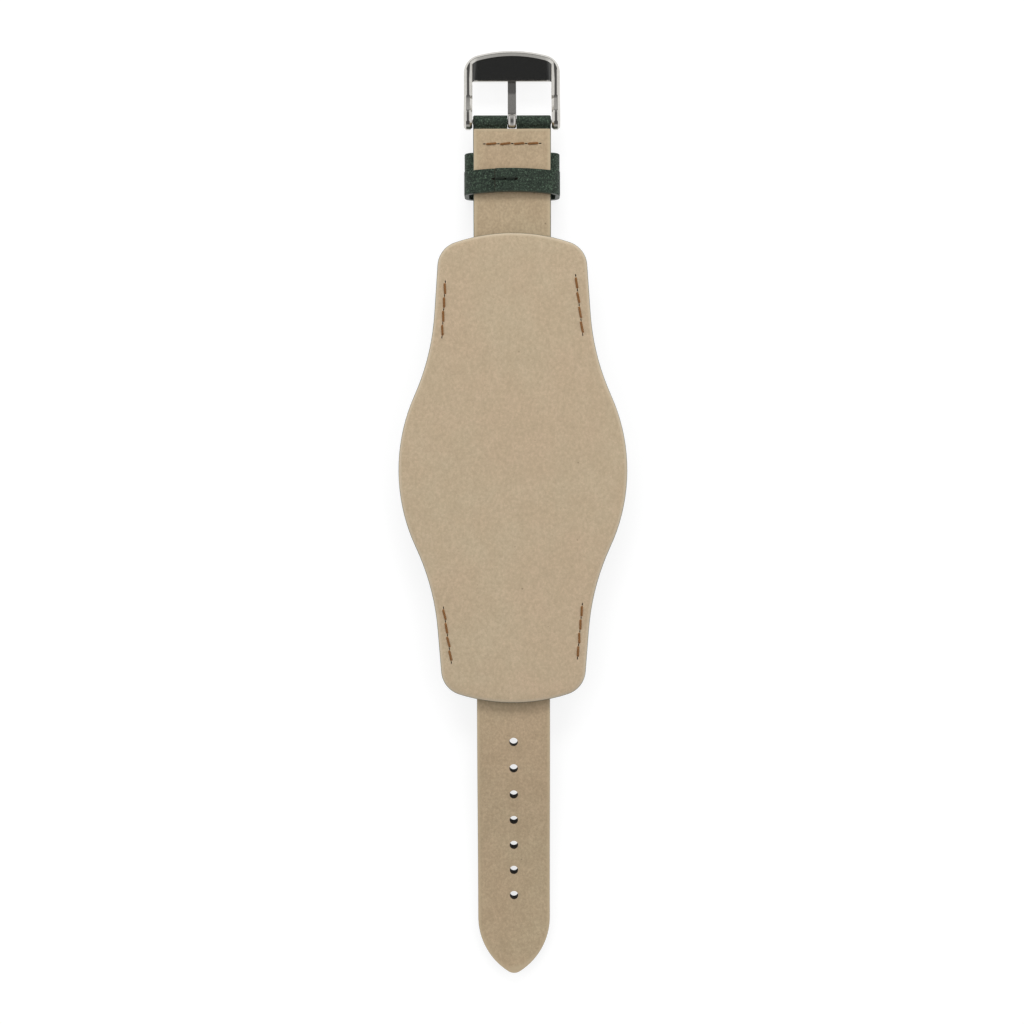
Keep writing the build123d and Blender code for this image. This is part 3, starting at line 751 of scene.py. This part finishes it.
# Painted shade: the hollow's floor gets a steel a quarter as bright as the polish, deepening the dark
# overhead that it reflects
SHADED_HOLLOW_STEEL = steel("shaded_hollow_steel", (0.16, 0.16, 0.155, 1), 0.20, 0.8)
SATIN_STEEL = steel("satin_steel", (0.68, 0.66, 0.625, 1), 0.18, 0.15)
FRAME_SLICES = (-0.0104, 0.0105, 0.00035)
ARM_INSIDE = 0.0104
ARM_FLATS = ((0.1094, 0.1160), (0.1019, 0.1045))
HOLLOW_FLOOR = 0.00545
HOLLOW_DEEPER = 0.00025
HOLLOW_RISES_FROM = 0.0088
HOLLOW_RISES_OVER = 0.00155
WINDOW_END = 0.1131
WINDOW_LIP = 0.00035
TANG_AXIS = Vector((0.1023, 0.0062))
TANG_HALF = 0.0011
TANG_LEVEL = 0.00015
TANG_SHOULDER = 0.0005
EYE_OUTSIDE = 0.0016
EYE_ENDS = 0.0017
EYE_FADES = 0.0004


def on_arm(place):
    """True on the flat tops of the two arms and of their ends, away from the steps between them"""
    return abs(place.x) > ARM_INSIDE and any(low < place.y < high for low, high in ARM_FLATS)


def in_hollow(middle, normal):
    """True for the floor of the hollow in the broad bar, which gets the painted shade"""
    inside = abs(middle.x) < ARM_INSIDE and middle.y > WINDOW_END - 0.0005
    return inside and middle.z < HOLLOW_FLOOR + 0.00004 and normal.z > 0.93


buckle = cut_from("buckle_frame", "buckle_frame_steel")
slice_along(buckle, 0, *FRAME_SLICES)
slice_along(buckle, 1, WINDOW_END, WINDOW_END + 1.5 * WINDOW_LIP, WINDOW_LIP)
for vertex in buckle.data.vertices:
    share = (abs(vertex.co.x) - HOLLOW_RISES_FROM) / HOLLOW_RISES_OVER
    if abs(vertex.co.z - HOLLOW_FLOOR) < 0.00002 and vertex.co.y > WINDOW_END + WINDOW_LIP / 2:
        vertex.co.z -= HOLLOW_DEEPER * (1 - max(0, share) ** 2)
round_edges(
    buckle, lambda edge, middle, a, b: edge.calc_face_angle() > 0.5 and on_arm(middle) and
    (looks(a, (0, 0, 1)) != looks(b, (0, 0, 1))), 0.00030, 4, clamp=False,
)
round_edges(buckle, lambda edge, middle, a, b: edge.calc_face_angle() > 0.5, 0.00007)
buckle.data.materials.append(POLISHED_STEEL)
# Painted shade on the floor of the hollow
finish_where(buckle, SHADED_HOLLOW_STEEL, in_hollow)
smooth(buckle, 30)
belongs(buckle, "buckle_frame", "buckle_frame")

tang = cut_from("buckle_tang", "buckle_tang_steel")
slice_along(tang, 0, -TANG_HALF, TANG_HALF, 0.0001)
for vertex in tang.data.vertices:
    out = vertex.co.yz - TANG_AXIS
    past = max(0, abs(vertex.co.x) - TANG_LEVEL) / (TANG_HALF - TANG_LEVEL)
    if out.length > EYE_OUTSIDE and out.x < EYE_ENDS:
        fall = (1 - max(0, 1 - past**2) ** 0.5) * min(1, (EYE_ENDS - out.x) / EYE_FADES)
        vertex.co.yz = TANG_AXIS + out * (1 - TANG_SHOULDER * fall / out.length)
round_edges(
    tang, lambda edge, middle, a, b: edge.calc_face_angle() > 0.9 and
    (middle.y > 0.1046 or (middle.yz - TANG_AXIS).length < 0.0012), 0.00012,
)
tang.data.materials.append(SATIN_STEEL)
smooth(tang, 40)
belongs(tang, "buckle_tang", "buckle_tang")

for side, joint in ((-1, "left_pin_press"), (1, "right_pin_press")):
    half = cut_from("spring_bar_spring", joint.replace("pin_press", "half_of_spring"))
    bpy.ops.object.mode_set(mode="EDIT")
    bpy.ops.mesh.select_all(action="SELECT")
    bpy.ops.mesh.bisect(plane_co=(0, 0, 0), plane_no=(-side, 0, 0), use_fill=True, clear_outer=True)
    bpy.ops.mesh.select_all(action="DESELECT")
    bpy.ops.object.mode_set(mode="OBJECT")
    half.data.materials.append(SATIN_STEEL)
    smooth(half, 40)
    belongs(half, "buckle_strap", "spring_bar_spring")
    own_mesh(half)

for node in ("spring_bar_tube", "spring_bar_pin_left", "spring_bar_pin_right"):
    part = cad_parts[node]
    if not part.material_slots:
        part.data.materials.append(SATIN_STEEL)
    for place in part.material_slots:
        place.material = SATIN_STEEL


# Tail strap piece
# Made as the buckle-side piece is, glued along its length, and cut to a rounded point.
# Seven holes are punched square through it. It leaves the pad high and comes down to the table.

TAIL_STARTS_DOWN = -0.0489
TAIL_IS_DOWN = -0.1069
TAIL_SLICES = (-0.1205, -0.0475, 0.0015)
TAIL_POINT = -0.1165
TAIL_LUG_ROW = ((-0.0078, -0.0162), (0.0078, -0.0162))
TAIL_LUG_FOLD = -0.015
HOLE_ROW_HALF = 0.002
TAIL_TURN = 2 * atan2(STRAP_FRONT, TAIL_STARTS_DOWN - TAIL_IS_DOWN)
TAIL_BEND = (TAIL_STARTS_DOWN - TAIL_IS_DOWN) / 2 / sin(TAIL_TURN)


def tail_height(y, above):
    """Height of the tail, by how far above its front side, on the two arcs in which it comes down"""
    if y > TAIL_STARTS_DOWN:
        return STRAP_FRONT + above
    if y > TAIL_STARTS_DOWN - (TAIL_BEND + above) * sin(TAIL_TURN):
        return STRAP_FRONT - TAIL_BEND + ((TAIL_BEND + above) ** 2 - (y - TAIL_STARTS_DOWN) ** 2) ** 0.5
    if y > TAIL_IS_DOWN:
        return TAIL_BEND - ((TAIL_BEND - above) ** 2 - (y - TAIL_IS_DOWN) ** 2) ** 0.5
    return above


def bend_evenly(piece, above):
    """Slices one side of a tail leather and puts it exactly on the two arcs"""
    slice_along(piece, 1, *TAIL_SLICES)
    for vertex in piece.data.vertices:
        level = tail_height(vertex.co.y, above)
        if abs(vertex.co.z - level) < 0.0004:
            vertex.co.z = level


def off_holes(place):
    """True for a place on the outline of the tail, away from its row of holes"""
    return abs(place.x) > HOLE_ROW_HALF or place.y < TAIL_POINT


def hole_wall(middle, normal):
    """True for the punched walls of the holes, which are raw cut and get the near-black painted shade"""
    return abs(normal.z) < 0.5 and not off_holes(middle)


def tail_rim(way, below=0):
    """Test for the rim of one side of a tail leather, away from its row of holes"""
    def test(edge, middle, a, b):
        down = (looks(a, (0, 0, way)) and abs(b.z) < 0.4) or (looks(b, (0, 0, way)) and abs(a.z) < 0.4)
        return down and middle.y < below and off_holes(middle)

    return test


tail_lining = cut_from("tail_strap_lining", "tail_wrist_side")
bend_evenly(tail_lining, STRAP_TOP - STRAP_FRONT)
for side in (-1, 1):
    slice_along(tail_lining, 0, *sorted((side * 0.0016, side * 0.0118)), 0.0033)
round_edges(tail_lining, tail_rim(1), 0.00016)
tail_edge = cut_edge(tail_lining, off_holes)
paint_walls(tail_lining, STRAP_NUBUCK, EDGE_PAINT, lambda normal: normal.z < 0.8)
# Painted shade on the walls of the punched holes
finish_where(tail_lining, NEEDLE_HOLE_SHADE, hole_wall)
mark_rim(tail_lining, tail_edge)
smooth(tail_lining)
belongs(tail_lining, "tail_strap", "tail_strap_lining")

tail_filler = cut_from("tail_strap_core", "tail_filler")
tail_filler.data.materials.append(EDGE_PAINT)
# Painted shade on the walls of the punched holes
finish_where(tail_filler, NEEDLE_HOLE_SHADE, hole_wall)
smooth(tail_filler)
belongs(tail_filler, "tail_strap", "tail_strap_core")

tail_front = cut_from("tail_strap_front", "tail_green_leather")
bend_evenly(tail_front, 0)
round_edges(tail_front, tail_rim(-1, TAIL_LUG_FOLD), 0.00022)
paint_walls(
    tail_front, GREEN_CALF, EDGE_PAINT, lambda normal: abs(normal.z) < 0.3 and abs(normal.x) > 0.3,
)
finish_where(
    tail_front, EDGE_PAINT, lambda middle, normal: middle.y < TAIL_POINT and abs(normal.z) < 0.3,
)
# Painted shade on the walls of the punched holes
finish_where(tail_front, NEEDLE_HOLE_SHADE, hole_wall)
smooth(tail_front)
tail_lug_row = needle_holes(*TAIL_LUG_ROW)
pierce(tail_front, [tail_lug_row], flat_at(STRAP_FRONT), NEEDLE_HOLE_SHADE, side=-1)
belongs(tail_front, "tail_strap", "tail_strap_front")
stitches = sew(
    "tail_lug_stitches_front", tail_lug_row, flat_at(STRAP_FRONT), GREEN_THREAD,
    side=-1, sink=FRONT_SINK, seed=17,
)
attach(stitches, "tail_strap")


# Floor, light and camera
# A pale sheet lies under the strap, and three soft lamps stand round it.
# The camera looks straight down on the wrist side.

bpy.ops.object.select_all(action="DESELECT")
bpy.ops.mesh.primitive_plane_add(size=6, location=(0, 0, 0))
floor = bpy.context.object
floor.name = "floor"
material, tree, shader, add = finish_nodes("pale_floor")
shader.inputs["Base Color"].default_value = (0.8, 0.8, 0.8, 1)
shader.inputs["Roughness"].default_value = 1
shader.inputs["Specular IOR Level"].default_value = 0
rays = add("ShaderNodeLightPath").outputs
seen = add("ShaderNodeMath", {0: rays["Is Camera Ray"], 1: rays["Is Glossy Ray"]}, operation="MAXIMUM")
seen = add("ShaderNodeMath", {0: seen.outputs[0], 1: rays["Is Transmission Ray"]}, operation="MAXIMUM")
white = add("ShaderNodeEmission", {"Color": (1, 1, 1, 1), "Strength": 0.8})
lit = add("ShaderNodeBsdfDiffuse", {"Color": (0.25, 0.25, 0.25, 1)})
both = add("ShaderNodeAddShader", {0: white.outputs[0], 1: lit.outputs[0]})
mixed = add("ShaderNodeMixShader", {0: seen.outputs[0], 1: shader.outputs[0], 2: both.outputs[0]})
tree.links.new(mixed.outputs[0], tree.nodes["Material Output"].inputs["Surface"])
floor.data.materials.append(material)

world = bpy.data.worlds.new("studio")
bpy.context.scene.world = world
world.use_nodes = True
add = adder(world.node_tree)
rays = add("ShaderNodeLightPath").outputs
mirrored = add("ShaderNodeMath", {
    0: rays["Is Glossy Ray"], 1: rays["Is Transmission Ray"],
}, operation="MAXIMUM")
direction = add("ShaderNodeTexCoord").outputs["Generated"]
sideways = add("ShaderNodeVectorMath", {0: direction, 1: (1, 0.4, 0)}, operation="MULTIPLY")
from_overhead = add("ShaderNodeVectorMath", {0: sideways.outputs[0]}, operation="LENGTH")
studio = add("ShaderNodeValToRGB", {"Fac": from_overhead.outputs["Value"]})
for index, level in ((0, 0.10), (1, 1.0)):
    studio.color_ramp.elements[index].color = (level, level, level, 1)
for place, level in ((0.17, 0.12), (0.30, 0.42), (0.42, 0.55), (0.70, 1.0)):
    studio.color_ramp.elements.new(place).color = (level, level, level, 1)
toward_buckle = add("ShaderNodeSeparateXYZ", {0: direction}).outputs["Y"]
soft_light = spread(add, toward_buckle, -1, 1, 0.35, 0.75)
lit_by = blend(add, mirrored.outputs[0], (0, 0, 0, 1), studio.outputs["Color"])
unseen = add("ShaderNodeMath", {0: 1.0, 1: mirrored.outputs[0]}, operation="SUBTRACT").outputs[0]
soft_light = add("ShaderNodeMath", {0: soft_light, 1: unseen}, operation="MULTIPLY").outputs[0]
lit_by = blend(add, 1.0, lit_by, soft_light, "ADD")
shown = blend(add, rays["Is Camera Ray"], lit_by, (1, 1, 1, 1))
background = world.node_tree.nodes["Background"]
world.node_tree.links.new(shown, background.inputs["Color"])
background.inputs["Strength"].default_value = 1


def softbox(name, place, size, power):
    """Soft lamp aimed at the middle of the strap"""
    lamp = bpy.data.lights.new(name, "AREA")
    lamp.shape = "RECTANGLE"
    lamp.size, lamp.size_y = size
    lamp.energy = power
    holder = bpy.data.objects.new(name, lamp)
    bpy.context.scene.collection.objects.link(holder)
    holder.location = place
    holder.rotation_euler = (-Vector(place)).to_track_quat("-Z", "Y").to_euler()
    holder.visible_glossy = False


softbox("left_lamp", (-0.66, 0.15, 0.52), (0.6, 1.0), 1.9)
softbox("right_lamp", (0.66, 0.15, 0.52), (0.6, 1.0), 1.9)
softbox("buckle_end_lamp", (0, 0.70, 0.62), (0.6, 0.25), 3.2)

camera_data = bpy.data.cameras.new("camera")
camera_data.lens = 50
camera_data.sensor_width = 36
camera_data.clip_start = 0.01
camera = bpy.data.objects.new("camera", camera_data)
bpy.context.scene.collection.objects.link(camera)
camera.location = (-0.00026, 0.00037, 0.3776)
camera.rotation_euler = (0, 0, radians(-0.15))
bpy.context.scene.camera = camera
bpy.context.scene.view_settings.view_transform = "Standard"
